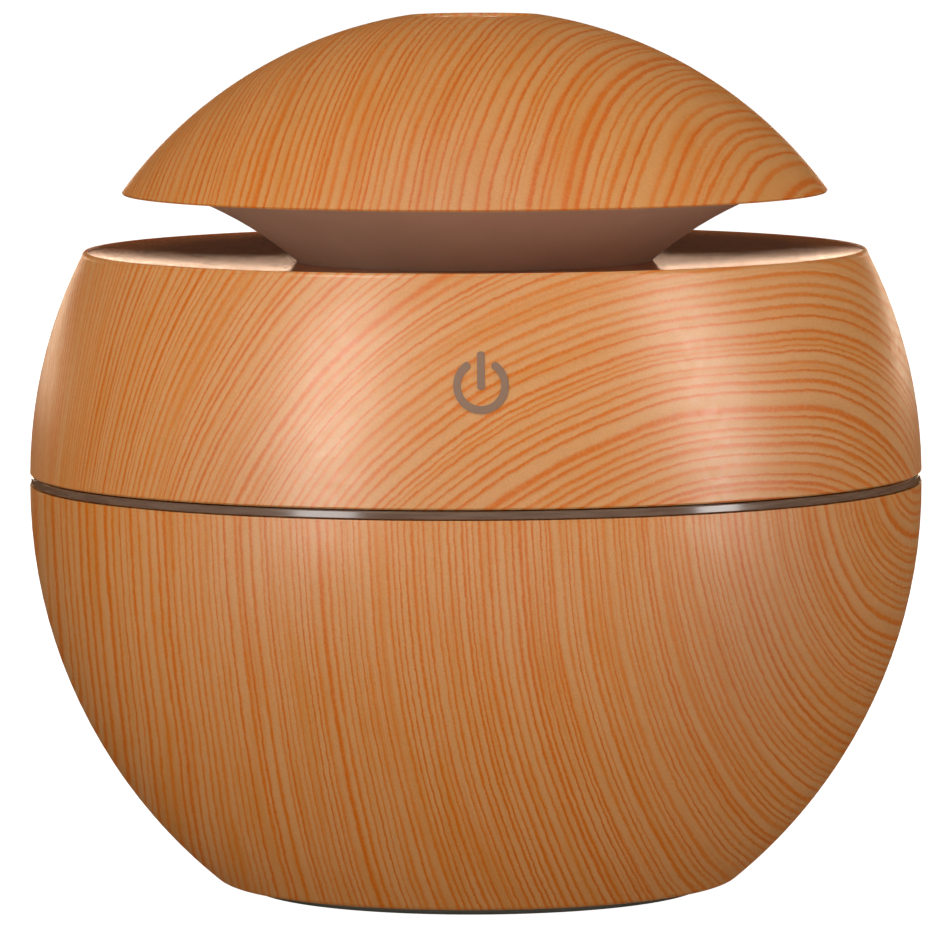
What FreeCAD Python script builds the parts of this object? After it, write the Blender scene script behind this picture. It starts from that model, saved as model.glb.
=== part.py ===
import FreeCAD, Part
import math
import os
import re
import Sketcher

# A ball-shaped desk diffuser for essential oil, about 100 mm across: a bowl that holds
# the water, a head that lifts off it, and a mushroom cap on a flared neck.
# Millimetres. +Z is up, the touch mark faces -Y, the power socket faces +Y, and
# the origin is the middle of the foot's underside.

doc = FreeCAD.newDocument("EssentialOilDiffuser")

SIZES = [
    ("body_radius", 50.3, "widest radius of bowl and head"),
    ("wall", 2.0, "wall of the three outer shells"),
    ("gap", 0.2, "room between pieces that slide into each other"),
    ("root", 0.5, "how deep a boss or post grows into its plate"),
    ("seat_gap", 0.3, "room between head and bowl pieces that turn past each other"),
    ("play", 0.05, "room between fixed pieces that lie on each other"),
    ("fit", 0.15, "room round a fixed piece in its seat"),
    ("cut_over", 1.0, "how far a cut runs past the face it opens"),
    # foot and bowl
    ("foot_radius", 25.8, "foot pad"),
    ("foot_edge", 0.3, "chamfer of the pad's lower edge"),
    ("foot_rise", 0.85, "how far the pad stands below the bowl"),
    ("foot_top", 1.5, "top of the pad, inside its recess"),
    ("base_radius", 28.2, "flat underside of the bowl"),
    ("base_corner", 1.4, "height where the bowl's bottom corner ends"),
    ("base_round", 2.4, "rounding of that corner"),
    ("bowl_bend", 57.3, "radius of the bowl's side curve"),
    ("bowl_middle", 45.5, "height of the bowl's widest place"),
    ("bowl_rim", 45.95, "top edge of the bowl"),
    ("bowl_floor", 3.4, "floor of the bowl shell"),
    ("liner_gap", 0.5, "air between the bowl shell and the tank in it"),
    ("liner_wall", 1.5, "wall of the tank"),
    ("tank_floor", 5.1, "floor of the water space"),
    ("collar_radius", 43.45, "bore of the tank's mouth"),
    ("collar_low", 39.5, "lower end of that bore"),
    ("collar_taper", 2.0, "height of the slope below the bore"),
    ("pin_radius", 1.2, "the tank's three bayonet pins"),
    ("pin_height", 41.0, "height of the pins"),
    ("pin_reach", 41.2, "radius that the pin tips reach in to"),
    # head base, seal and light ring
    ("spigot_radius", 42.4, "outside of the head's spigot"),
    ("spigot_wall", 3.0, "wall of the spigot"),
    ("spigot_low", 38.0, "lower edge of the spigot"),
    ("track_depth", 1.5, "depth of the bayonet tracks"),
    ("track_half", 1.6, "half the height of the bayonet tracks"),
    ("track_half_angle", 2.3, "half the width of a track's mouth, in degrees"),
    ("lock_angle", 30.0, "turn from open to locked, in degrees"),
    ("seal_section", 0.95, "radius of the seal's section"),
    ("seal_height", 44.7, "height of the seal"),
    ("seal_floor", 41.05, "floor of the seal's groove"),
    ("seal_half", 1.2, "half the height of that groove"),
    ("ring_low", 46.05, "underside of the light ring"),
    ("ring_high", 46.95, "top of the light ring's edge"),
    ("ring_radius", 50.15, "outer edge of the light ring"),
    ("ring_edge", 0.12, "chamfer of that edge"),
    ("guide_inner", 44.5, "inside of the raised light guide"),
    ("guide_outer", 47.2, "outside of the raised light guide"),
    ("guide_high", 48.8, "top of the raised light guide"),
    ("plate_low", 47.0, "underside of the head's base plate"),
    ("plate_high", 48.6, "top of the base plate"),
    ("plate_radius", 44.2, "edge of the base plate"),
    ("plate_rim", 1.6, "wall of the rim that carries the lamp board"),
    ("plate_rim_high", 50.2, "top of that rim"),
    ("column_radius", 8.6, "column that holds the wick tube"),
    ("column_bore", 6.0, "bore of that column"),
    ("cup_low", 60.5, "underside of the disc cup"),
    ("cup_floor", 61.8, "floor of the disc cup"),
    ("cup_high", 64.6, "rim of the disc cup"),
    ("cup_radius", 11.6, "outside of the disc cup"),
    ("cup_bore", 10.3, "inside of the disc cup"),
    ("lead_slot_half", 1.8, "half the width of the slot for the disc's leads"),
    ("lead_slot_start", 6.0, "inner end of that slot"),
    ("lead_slot_low", 63.6, "floor of that slot"),
    # head shell, deck, neck and cap
    ("shell_bend", 55.45, "radius of the head's side curve"),
    ("shell_middle", 46.6, "height of the head's widest place"),
    ("shell_low", 47.1, "lower edge of the head shell"),
    ("shell_edge", 0.2, "chamfer of that edge"),
    ("shoulder", 71.7, "height where the shoulder's rounding starts"),
    ("shoulder_round", 0.6, "rounding of the shoulder"),
    ("rim_radius", 44.0, "inner end of the shoulder's rounding"),
    ("rim_height", 72.15, "top of the shoulder"),
    ("deck_radius", 43.7, "edge of the deck"),
    ("deck_edge", 72.05, "top of the deck at its edge"),
    ("deck_dish", 230.0, "radius of the deck's dish"),
    ("deck_step", 0.25, "how far the deck's underside stays above the ledge's"),
    ("ledge_radius", 41.2, "bore of the ledge under the deck"),
    ("ledge_high", 70.7, "top of that ledge"),
    ("ledge_low", 69.5, "underside of that ledge"),
    ("neck_radius", 20.0, "foot of the flared neck"),
    ("neck_height", 70.95, "deck height at the neck"),
    ("neck_wall", 1.6, "wall of the neck"),
    ("neck_bend", 45.0, "radius of the neck's flare"),
    ("neck_top_wall", 1.8, "width of the neck's top edge"),
    ("neck_inner_rise", 0.7, "how much higher the flare starts inside"),
    ("neck_top_radius", 33.0, "top of the neck's flare"),
    ("neck_flange", 2.6, "flange that holds the neck under the deck"),
    ("flange_low", 68.2, "underside of that flange"),
    ("cap_under", 78.65, "underside of the cap's base"),
    ("cap_edge", 78.6, "lower edge of the cap"),
    ("cap_point", 78.8, "height of the cap's widest place"),
    ("cap_bend", 49.62, "radius of the cap's dome"),
    ("cap_middle", 49.55, "height of the dome's centre"),
    ("cap_offset", -0.35, "distance of the dome's centre from the axis"),
    ("outlet_radius", 7.0, "mist hole in the cap"),
    ("outlet_round", 0.5, "rounding of the mist hole"),
    ("cap_plate", 1.2, "top of the cap's base above the cap's edge"),
    ("cap_step", 0.35, "room between that base and the dome round it"),
    ("cap_edge_step", 0.12, "how far the dome's lower edge draws in"),
    ("hub_wall", 1.8, "wall of the sleeve in the cap"),
    ("hub_high", 92.0, "top of that sleeve"),
    # mist tube, disc and wick
    ("mist_bore", 5.6, "bore of the mist tube"),
    ("mist_wall", 1.2, "wall of the mist tube"),
    ("mist_low", 66.4, "lower end of the mist tube"),
    ("mist_high", 98.0, "upper end of the mist tube"),
    ("retainer_bore", 6.0, "hole of the ring that holds the disc"),
    ("retainer_wall", 1.4, "wall of its skirt and collar"),
    ("skirt_rise", 1.5, "lower end of its skirt above the cup's underside"),
    ("collar_step", 0.4, "top of its plate below the mist tube's end"),
    ("collar_rise", 2.6, "how far its collar reaches up round the mist tube"),
    ("disc_radius", 8.0, "mist disc"),
    ("disc_low", 63.0, "underside of the mist disc"),
    ("mesh_thick", 0.12, "metal plate of the mist disc"),
    ("piezo_bore", 4.4, "hole of the ceramic ring"),
    ("piezo_thick", 0.46, "ceramic ring"),
    ("tube_bore", 4.5, "bore of the wick tube"),
    ("tube_radius", 5.8, "outside of the wick tube"),
    ("tube_low", 8.0, "lower end of the wick tube"),
    ("tube_high", 60.3, "upper end of the wick tube"),
    ("tube_flange", 9.0, "flange of the wick tube"),
    ("tube_flange_thick", 1.6, "thickness of that flange"),
    ("slot_corner", 0.9, "rounding of the water slots' corners"),
    ("slot_low", 17.0, "lower end of the tube's water slots"),
    ("slot_high", 35.0, "upper end of the tube's water slots"),
    ("slot_half", 1.2, "half the width of the water slots"),
    ("tip_low", 5.9, "underside of the tube's end cap"),
    ("tip_floor", 7.2, "floor of the end cap"),
    ("tip_high", 11.5, "rim of the end cap"),
    ("tip_radius", 7.3, "outside of the end cap"),
    ("tip_hole", 2.4, "water hole of the end cap"),
    ("tip_edge", 1.0, "chamfer of the end cap"),
    ("spring_radius", 3.3, "middle of the wick spring's wire"),
    ("spring_wire", 0.3, "radius of that wire"),
    ("spring_pitch", 1.6, "rise of the wick spring per turn"),
    ("wick_radius", 4.1, "cotton wick"),
    ("wick_low", 14.0, "lower end of the wick"),
    ("wick_high", 62.9, "upper end of the wick"),
    # boards and fasteners
    ("board_low", 53.0, "underside of the main board"),
    ("board_thick", 1.2, "main board"),
    ("board_bore", 15.0, "hole of the main board"),
    ("board_radius", 32.2, "edge of the main board"),
    ("board_tail_half", 7.0, "half the width of the board's rear tongue"),
    ("board_tail_start", 30.2, "front end of that tongue, inside the board"),
    ("board_tail_end", 46.0, "rear end of that tongue"),
    ("post_circle", 27.0, "circle of the board posts"),
    ("post_radius", 2.2, "board posts"),
    ("boss_circle", 36.0, "circle of the deck's screw bosses"),
    ("boss_radius", 3.0, "deck's screw bosses"),
    ("cap_boss_circle", 20.0, "circle of the cap's screw bosses"),
    ("cap_boss_radius", 2.4, "cap's screw bosses"),
    ("cap_boss_high", 93.0, "where those bosses run into the dome"),
    ("lamp_board_thick", 0.8, "lamp board"),
    ("lamp_inner", 42.8, "inside of the lamp board"),
    ("lamp_outer", 46.6, "edge of the lamp board"),
    ("lamp_circle", 45.4, "circle of the lamps"),
    ("lamp_side", 2.1, "side of a lamp"),
    ("lamp_high", 1.0, "height of a lamp"),
    ("drum_radius", 4.5, "flanges of the drum coil"),
    ("drum_high", 6.8, "height of the drum coil"),
    ("drum_flange", 1.2, "thickness of its flanges"),
    ("drum_slope", 0.2, "slope between flange and winding"),
    ("winding_radius", 3.9, "winding of the drum coil"),
    ("can_radius", 3.1, "capacitor can"),
    ("can_high", 9.0, "height of the can"),
    ("can_edge", 0.45, "chamfer of the can's top"),
    ("can_dish", 2.0, "dish in the can's top"),
    ("can_dish_depth", 0.2, "depth of that dish"),
    ("bead_height", 1.6, "height of the can's bead"),
    ("bead_half", 0.4, "half the width of that bead"),
    ("bead_depth", 0.25, "depth of that bead"),
    ("touch_half", 4.0, "half the width of the sensor plate"),
    ("touch_low", 56.2, "lower edge of the sensor plate"),
    ("touch_high", 63.8, "upper edge of the sensor plate"),
    ("touch_reach", 44.6, "front face of the sensor plate"),
    ("touch_thick", 0.9, "thickness of the sensor plate"),
    # screws and leads
    ("chassis_head", 2.4, "head radius of the chassis screws"),
    ("chassis_screw", 1.3, "shank radius of the chassis screws"),
    ("chassis_head_high", 1.5, "head height of the chassis screws"),
    ("chassis_screw_bite", 8.0, "how far they reach above the base plate"),
    ("board_head", 1.8, "head radius of the board screws"),
    ("board_screw", 0.75, "shank radius of the board screws"),
    ("board_head_high", 1.2, "head height of the board screws"),
    ("board_screw_bite", 3.0, "how far they reach below the board"),
    ("cap_head", 1.8, "head radius of the cap screws"),
    ("cap_screw", 0.85, "shank radius of the cap screws"),
    ("cap_head_high", 1.3, "head height of the cap screws"),
    ("cap_screw_bite", 7.0, "how far they reach above the cap's edge"),
    ("under_head", 0.02, "room under a screw's head"),
    ("recess_depth", 0.6, "depth of a screw's cross recess"),
    ("lead_radius", 0.4, "insulated lead"),
    ("lead_apart", 0.9, "half the distance between two leads"),
    # socket
    ("socket_width", 7.8, "power socket"),
    ("socket_depth", 5.6, "depth of the socket"),
    ("socket_height", 2.9, "height of the socket"),
    ("socket_sheet", 0.35, "sheet metal of the socket"),
    ("socket_room", 0.5, "room round the socket in the shell's hole"),
    ("socket_corner", 1.2, "rounding of that hole's corners"),
    ("tongue_half_width", 2.4, "half the width of the socket's tongue"),
    ("tongue_half_height", 0.35, "half its thickness"),
    ("tongue_back", 0.8, "how far the tongue stays behind the mouth"),
    ("socket_mouth", 48.3, "how far back the socket's mouth is"),
    # touch mark
    ("mark_height", 60.4, "middle of the touch mark"),
    ("mark_radius", 3.0, "outer radius of its ring"),
    ("mark_stroke", 0.82, "width of its strokes"),
    ("mark_gap_angle", 33.5, "half the opening of its ring, in degrees"),
    ("mark_bar_top", 3.6, "top of its bar above the middle"),
    ("mark_bar_low", -0.45, "lower end of its bar"),
    ("mark_thick", 0.08, "thickness of the printed mark"),
    ("mark_lift", 0.005, "how far it lies off the shell"),
]

DRUM_PLACE = (23.0, 3.0)
CAN_PLACE = (21.0, -8.0)
SCREWS_PER_CIRCLE = 3
LAMP_COUNT = 8
BOSS_FIRST_ANGLE = 30.0
POST_FIRST_ANGLE = 90.0


def fill_sheet():
    """Write the driving sizes into the spreadsheet: name, value, note."""
    sheet = doc.addObject("Spreadsheet::Sheet", "Sizes")
    for row, (alias, value, note) in enumerate(SIZES, start=1):
        sheet.set(f"A{row}", alias)
        sheet.set(f"B{row}", str(value))
        sheet.setAlias(f"B{row}", alias)
        sheet.set(f"C{row}", note)
    doc.recompute()
    return sheet


Sizes = fill_sheet()
ALIASES = {alias for alias, value, note in SIZES}


def bound(expression):
    """The expression with each sheet name written as Sizes.name."""
    return re.sub(r"[a-z_]+", lambda word: "Sizes." + word.group() if word.group() in ALIASES
                  else word.group(), expression)


def value_of(expression):
    return float(Sizes.evalExpression(bound(expression)))


def bind(thing, path, expression):
    thing.setExpression(path, bound(expression))


# ---------------------------------------------------------------- curves

def bowl_at(height, inset="0"):
    """Radius of the bowl's side curve, moved inwards by inset, at a height."""
    return (f"(body_radius - bowl_bend + sqrt((bowl_bend - ({inset}))^2"
            f" - (({height}) - bowl_middle)^2))")


def shell_at(height, inset="0"):
    """Radius of the head's side curve, moved inwards by inset, at a height."""
    return (f"(body_radius - shell_bend + sqrt((shell_bend - ({inset}))^2"
            f" - (({height}) - shell_middle)^2))")


def cap_at(height, inset="0"):
    """Radius of the dome, moved inwards by inset, at a height."""
    return f"(cap_offset + sqrt((cap_bend - ({inset}))^2 - (({height}) - cap_middle)^2))"


def cap_over(radius, inset="0"):
    """Height of the dome, moved inwards by inset, over a radius."""
    return f"(cap_middle + sqrt((cap_bend - ({inset}))^2 - (({radius}) - cap_offset)^2))"


# ---------------------------------------------------------------- sketches

LEFT = 1
RIGHT = -1


def origin_part(body, role):
    return next(part for part in body.Origin.OriginFeatures if part.Role == role)


def new_body(name):
    body = doc.addObject("PartDesign::Body", name)
    body.Label = name
    return body


def new_sketch(body, name, plane, offset="0"):
    sketch = body.newObject("Sketcher::SketchObject", name)
    sketch.AttachmentSupport = (origin_part(body, plane), "")
    sketch.MapMode = "FlatFace"
    bind(sketch, "AttachmentOffset.Base.z", offset)
    return sketch


def arc_between(first, second, radius, turn):
    """The arc under 180 degrees from first to second that turns LEFT or RIGHT."""
    half = (second - first) * 0.5
    rise = math.sqrt(max(radius ** 2 - half.Length ** 2, 0.0))
    sideways = FreeCAD.Vector(-half.y, half.x, 0).normalize()
    centre = first + half + sideways * rise * turn
    start, end = (first, second) if turn == LEFT else (second, first)
    angles = [math.atan2(point.y - centre.y, point.x - centre.x) for point in (start, end)]
    if angles[1] < angles[0]:
        angles[1] += 2 * math.pi
    circle = Part.Circle(centre, FreeCAD.Vector(0, 0, 1), radius)
    return Part.ArcOfCircle(circle, angles[0], angles[1])


def hold(sketch, kind, where, expression):
    """Fix one coordinate of a point in the sketch to an expression."""
    if expression == "0":
        axis = -2 if kind == "DistanceX" else -1
        sketch.addConstraint(Sketcher.Constraint("PointOnObject", *where, axis))
        return
    size = value_of(expression)
    number = sketch.addConstraint(Sketcher.Constraint(kind, -1, 1, *where, size))
    bind(sketch, f"Constraints[{number}]", expression)


def draw(sketch, corners):
    """Draw a closed outline. A corner is (across, up), and the side that leaves
    it is straight, or (across, up, radius, turn), and the side is an arc."""
    points = [FreeCAD.Vector(value_of(c[0]), value_of(c[1]), 0) for c in corners]
    starts, ends = [], []
    for index, corner in enumerate(corners):
        here, there = points[index], points[(index + 1) % len(points)]
        if len(corner) == 2:
            side = sketch.addGeometry(Part.LineSegment(here, there))
            starts.append((side, 1))
            ends.append((side, 2))
            continue
        radius, turn = corner[2], corner[3]
        side = sketch.addGeometry(arc_between(here, there, value_of(radius), turn))
        starts.append((side, 1) if turn == LEFT else (side, 2))
        ends.append((side, 2) if turn == LEFT else (side, 1))
        number = sketch.addConstraint(Sketcher.Constraint("Radius", side, value_of(radius)))
        bind(sketch, f"Constraints[{number}]", radius)
    for index, corner in enumerate(corners):
        following = starts[(index + 1) % len(corners)]
        sketch.addConstraint(Sketcher.Constraint("Coincident", *ends[index], *following))
        hold(sketch, "DistanceX", starts[index], corner[0])
        hold(sketch, "DistanceY", starts[index], corner[1])


def draw_circle(sketch, across, up, radius):
    middle = FreeCAD.Vector(value_of(across), value_of(up), 0)
    circle = sketch.addGeometry(
        Part.Circle(middle, FreeCAD.Vector(0, 0, 1), value_of(radius)))
    number = sketch.addConstraint(
        Sketcher.Constraint("Radius", circle, value_of(radius)))
    bind(sketch, f"Constraints[{number}]", radius)
    hold(sketch, "DistanceX", (circle, 3), across)
    hold(sketch, "DistanceY", (circle, 3), up)


def rectangle(left, low, right, high):
    return [(left, low), (right, low), (right, high), (left, high)]


def round_rectangle(half_width, middle, half_height, corner):
    """Corners of a rectangle with rounded corners, centred across."""
    near, far = f"{half_width} - ({corner})", half_width
    low, high = f"{middle} - ({half_height})", f"{middle} + ({half_height})"
    low_in, high_in = f"{low} + ({corner})", f"{high} - ({corner})"
    return [(f"-({near})", low), (near, low, corner, LEFT), (far, low_in),
            (far, high_in, corner, LEFT), (near, high), (f"-({near})", high, corner, LEFT),
            (f"-({far})", high_in), (f"-({far})", low_in, corner, LEFT)]


# ---------------------------------------------------------------- features

def turned(name, corners):
    """A body made by turning an outline, given as radius and height, about Z."""
    body = new_body(name)
    sketch = new_sketch(body, name + "_outline", "XZ_Plane")
    draw(sketch, corners)
    turn = body.newObject("PartDesign::Revolution", name + "_turned")
    turn.Profile = sketch
    turn.ReferenceAxis = (sketch, ["V_Axis"])
    turn.Angle = 360.0
    body.Tip = turn
    return body


def raise_circles(body, name, circles, low, high, kind="PartDesign::Pad"):
    """Pad circles up from low to high, or pocket them down from high to low."""
    cut = kind == "PartDesign::Pocket"
    sketch = new_sketch(body, name + "_circles", "XY_Plane", high if cut else low)
    for across, along, radius in circles:
        draw_circle(sketch, across, along, radius)
    feature = body.newObject(kind, name)
    feature.Profile = sketch
    bind(feature, "Length", f"({high}) - ({low})")
    body.Tip = feature
    return feature


def on_circle(circle, angle, radius):
    """One circle's place on a bolt circle, for raise_circles."""
    return (f"({circle}) * cos({angle} deg)", f"({circle}) * sin({angle} deg)", radius)


def repeat_round(body, name, features, count, angle=360.0):
    """Repeat features about Z, count of them over angle."""
    pattern = body.newObject("PartDesign::PolarPattern", name)
    pattern.Originals = features
    pattern.Axis = (origin_part(body, "Z_Axis"), [""])
    pattern.Angle = angle
    pattern.Occurrences = count
    body.Tip = pattern
    return pattern


def box(name, low, high):
    """A box between two corners, each three expressions."""
    block = doc.addObject("Part::Box", name)
    block.Label = name
    for side, start, end in zip(("Length", "Width", "Height"), low, high):
        bind(block, side, f"({end}) - ({start})")
    for axis, start in zip("xyz", low):
        bind(block, f"Placement.Base.{axis}", start)
    return block


def cylinder(name, radius, low, high, x="0", y="0"):
    rod = doc.addObject("Part::Cylinder", name)
    rod.Label = name
    bind(rod, "Radius", radius)
    bind(rod, "Height", f"({high}) - ({low})")
    for axis, start in zip("xyz", (x, y, low)):
        bind(rod, f"Placement.Base.{axis}", start)
    return rod


def joined(name, kind, first, second):
    """A Part::Cut, Part::Fuse or Part::Common of two objects."""
    result = doc.addObject(kind, name)
    result.Label = name
    result.Base = first
    result.Tool = second
    return result


def group(name, members):
    """Separate solids that share one sub-part."""
    bundle = doc.addObject("Part::Compound", name)
    bundle.Label = name
    bundle.Links = members
    return bundle


# ---------------------------------------------------------------- bowl and tank

def make_foot_pad():
    return turned("foot_pad", [
        ("0", "0"), ("foot_radius - foot_edge", "0"), ("foot_radius", "foot_edge"),
        ("foot_radius", "foot_top"), ("0", "foot_top")])


def make_bowl_shell():
    recess = "foot_radius + gap"
    return turned("bowl_shell", [
        ("0", "foot_top"), (recess, "foot_top"), (recess, "foot_rise"),
        ("base_radius", "foot_rise", "base_round", LEFT),
        (bowl_at("base_corner"), "base_corner", "bowl_bend", LEFT),
        (bowl_at("bowl_rim"), "bowl_rim"),
        (bowl_at("bowl_rim", "wall"), "bowl_rim", "bowl_bend - wall", RIGHT),
        (bowl_at("bowl_floor", "wall"), "bowl_floor"), ("0", "bowl_floor")])


def make_tank_liner():
    """The water tank: a cup inside the bowl, with three pins in its mouth."""
    outer = "wall + liner_gap"
    inner = "wall + liner_gap + liner_wall"
    low = "tank_floor - liner_wall"
    high = "bowl_rim - play"
    slope_low = "collar_low - collar_taper"
    body = turned("tank_liner", [
        ("0", low), (bowl_at(low, outer), low, f"bowl_bend - ({outer})", LEFT),
        (bowl_at(high, outer), high), ("collar_radius", high),
        ("collar_radius", "collar_low"),
        (bowl_at(slope_low, inner), slope_low, f"bowl_bend - ({inner})", RIGHT),
        (bowl_at("tank_floor", inner), "tank_floor"), ("0", "tank_floor")])
    sketch = new_sketch(body, "tank_pin_circle", "YZ_Plane", "pin_reach")
    draw_circle(sketch, "0", "pin_height", "pin_radius")
    pin = body.newObject("PartDesign::Pad", "tank_pin")
    pin.Profile = sketch
    bind(pin, "Length", "collar_radius + cut_over - pin_reach")
    repeat_round(body, "tank_pins", [pin], SCREWS_PER_CIRCLE)
    return body


def make_tank_seal():
    ring = doc.addObject("Part::Torus", "tank_seal")
    ring.Label = "tank_seal"
    bind(ring, "Radius1", "seal_floor + seal_section + gap")
    bind(ring, "Radius2", "seal_section")
    bind(ring, "Placement.Base.z", "seal_height")
    return ring


# ---------------------------------------------------------------- head base

def lead_slot(name, reach):
    """The slot through which the disc's two leads leave the cup, out to reach."""
    return box(name, (f"-({reach})", "-lead_slot_half", "lead_slot_low"),
               ("-lead_slot_start", "lead_slot_half", "cup_high + play"))


def cut_track(body, name, low, high, angle, other_angle):
    """Groove part of a bayonet track, angle one way and other_angle the other."""
    sketch = new_sketch(body, name + "_outline", "XZ_Plane")
    draw(sketch, rectangle("spigot_radius - track_depth", low,
                           "spigot_radius + cut_over", high))
    track = body.newObject("PartDesign::Groove", name)
    track.Profile = sketch
    track.ReferenceAxis = (sketch, ["V_Axis"])
    track.Type = "TwoAngles"
    bind(track, "Angle", angle)
    bind(track, "Angle2", other_angle)
    body.Tip = track
    return track


def make_head_base():
    """The plate under the head, with the spigot that plugs into the tank's
    mouth, the column for the wick tube and the cup for the mist disc."""
    inside = "spigot_radius - spigot_wall"
    seal_low, seal_high = "seal_height - seal_half", "seal_height + seal_half"
    body = turned("head_base_blank", [
        ("column_bore", "plate_low"), (inside, "plate_low"), (inside, "spigot_low"),
        ("spigot_radius", "spigot_low"), ("spigot_radius", seal_low),
        ("seal_floor", seal_low), ("seal_floor", seal_high), ("spigot_radius", seal_high),
        ("spigot_radius", "plate_low"), ("plate_radius", "plate_low"),
        ("plate_radius", "plate_rim_high"), ("plate_radius - plate_rim", "plate_rim_high"),
        ("plate_radius - plate_rim", "plate_high"), ("column_radius", "plate_high"),
        ("column_radius", "cup_low"), ("cup_radius", "cup_low"), ("cup_radius", "cup_high"),
        ("cup_bore", "cup_high"), ("cup_bore", "cup_floor"), ("tube_bore", "cup_floor"),
        ("tube_bore", "cup_low"), ("column_bore", "cup_low")])
    track_low, track_high = "pin_height - track_half", "pin_height + track_half"
    mouth = cut_track(body, "track_mouth", "spigot_low - cut_over", track_high,
                      "track_half_angle", "track_half_angle")
    run = cut_track(body, "track_run", track_low, track_high,
                    "lock_angle + track_half_angle", "track_half_angle")
    repeat_round(body, "tracks", [mouth, run], SCREWS_PER_CIRCLE)
    post = raise_circles(body, "board_post",
                         [on_circle("post_circle", POST_FIRST_ANGLE, "post_radius")],
                         "plate_high - root", "board_low")
    post_bore = raise_circles(body, "board_post_bore",
                              [on_circle("post_circle", POST_FIRST_ANGLE, "board_screw + play")],
                              "plate_high + root", "board_low", "PartDesign::Pocket")
    repeat_round(body, "board_posts", [post, post_bore], SCREWS_PER_CIRCLE)
    hole = raise_circles(body, "plate_hole",
                         [on_circle("boss_circle", BOSS_FIRST_ANGLE, "chassis_screw + gap")],
                         "plate_low - cut_over", "plate_high + cut_over",
                         "PartDesign::Pocket")
    repeat_round(body, "plate_holes", [hole], SCREWS_PER_CIRCLE)
    return joined("head_base", "Part::Cut", body, lead_slot("cup_slot", "cup_radius + cut_over"))


def make_light_ring():
    """The clear ring at the seam. Its raised inner part takes the lamps' light."""
    inner = "spigot_radius + seat_gap"
    return turned("light_ring", [
        (inner, "ring_low"), ("ring_radius - ring_edge", "ring_low"),
        ("ring_radius", "ring_low + ring_edge"), ("ring_radius", "ring_high - ring_edge"),
        ("ring_radius - ring_edge", "ring_high"), ("guide_outer", "ring_high"),
        ("guide_outer", "guide_high"), ("guide_inner", "guide_high"),
        ("guide_inner", "ring_high"), (inner, "ring_high")])


# ---------------------------------------------------------------- head shell and deck

def make_upper_shell():
    """The head's printed side wall, with the socket's hole at the back."""
    body = turned("upper_shell", [
        (shell_at("shell_low", "wall"), "shell_low"),
        (shell_at("shell_low") + " - shell_edge", "shell_low"),
        (shell_at("shell_low + shell_edge"), "shell_low + shell_edge", "shell_bend", LEFT),
        (shell_at("shoulder"), "shoulder", "shoulder_round", LEFT),
        ("rim_radius", "rim_height"), ("deck_radius + play", "rim_height"),
        ("deck_radius + play", "ledge_high"), ("ledge_radius", "ledge_high"),
        ("ledge_radius", "ledge_low"),
        (shell_at("ledge_low", "wall"), "ledge_low", "shell_bend - wall", RIGHT)])
    sketch = new_sketch(body, "socket_hole_outline", "XZ_Plane")
    middle = "board_low + board_thick + socket_height / 2"
    draw(sketch, round_rectangle("socket_width / 2 + socket_room", middle,
                                 "socket_height / 2 + socket_room", "socket_corner"))
    hole = body.newObject("PartDesign::Pocket", "socket_hole")
    hole.Profile = sketch
    bind(hole, "Length", "body_radius + cut_over")
    body.Tip = hole
    return body


def make_top_deck():
    """The dished deck round the neck, with three screw bosses under it."""
    low = "ledge_low + deck_step"
    bore = "neck_radius + fit"
    step = "ledge_radius - fit"
    body = turned("top_deck", [
        (bore, low), (step, low), (step, "ledge_high"), ("deck_radius", "ledge_high"),
        ("deck_radius", "deck_edge", "deck_dish", RIGHT), (bore, "neck_height")])
    boss = raise_circles(body, "deck_boss",
                         [on_circle("boss_circle", BOSS_FIRST_ANGLE, "boss_radius")],
                         "plate_high + play", "ledge_high - root")
    bore = raise_circles(body, "deck_boss_bore",
                         [on_circle("boss_circle", BOSS_FIRST_ANGLE, "chassis_screw + play")],
                         "plate_high - cut_over", "plate_high + chassis_screw_bite + cut_over",
                         "PartDesign::Pocket")
    repeat_round(body, "deck_bosses", [boss, bore], SCREWS_PER_CIRCLE)
    return body


def make_mist_flare():
    """The frosted neck that flares out under the cap."""
    inside = "neck_radius - neck_wall"
    flange = "neck_radius + neck_flange"
    flange_high = "ledge_low + fit"
    top = "cap_under - play"
    return turned("mist_flare", [
        (inside, "flange_low"), (flange, "flange_low"), (flange, flange_high),
        ("neck_radius", flange_high), ("neck_radius", "neck_height", "neck_bend", RIGHT),
        ("neck_top_radius", top),
        ("neck_top_radius - neck_top_wall", top, "neck_bend + neck_wall", LEFT),
        (inside, "neck_height + neck_inner_rise")])


# ---------------------------------------------------------------- cap

def make_cap_base():
    """The plate that closes the cap from below, with a sleeve round the tube."""
    high = "cap_edge + cap_plate"
    step = cap_at(high, "wall") + " - cap_step"
    body = turned("cap_base", [
        ("outlet_radius", "cap_under"), (step, "cap_under"), (step, high),
        ("outlet_radius + hub_wall", high),
        ("outlet_radius + hub_wall", "hub_high"), ("outlet_radius", "hub_high")])
    hole = raise_circles(body, "cap_base_hole",
                         [on_circle("cap_boss_circle", BOSS_FIRST_ANGLE, "cap_screw + fit")],
                         "cap_under - cut_over", f"{high} + cut_over",
                         "PartDesign::Pocket")
    repeat_round(body, "cap_base_holes", [hole], SCREWS_PER_CIRCLE)
    return body


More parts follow.
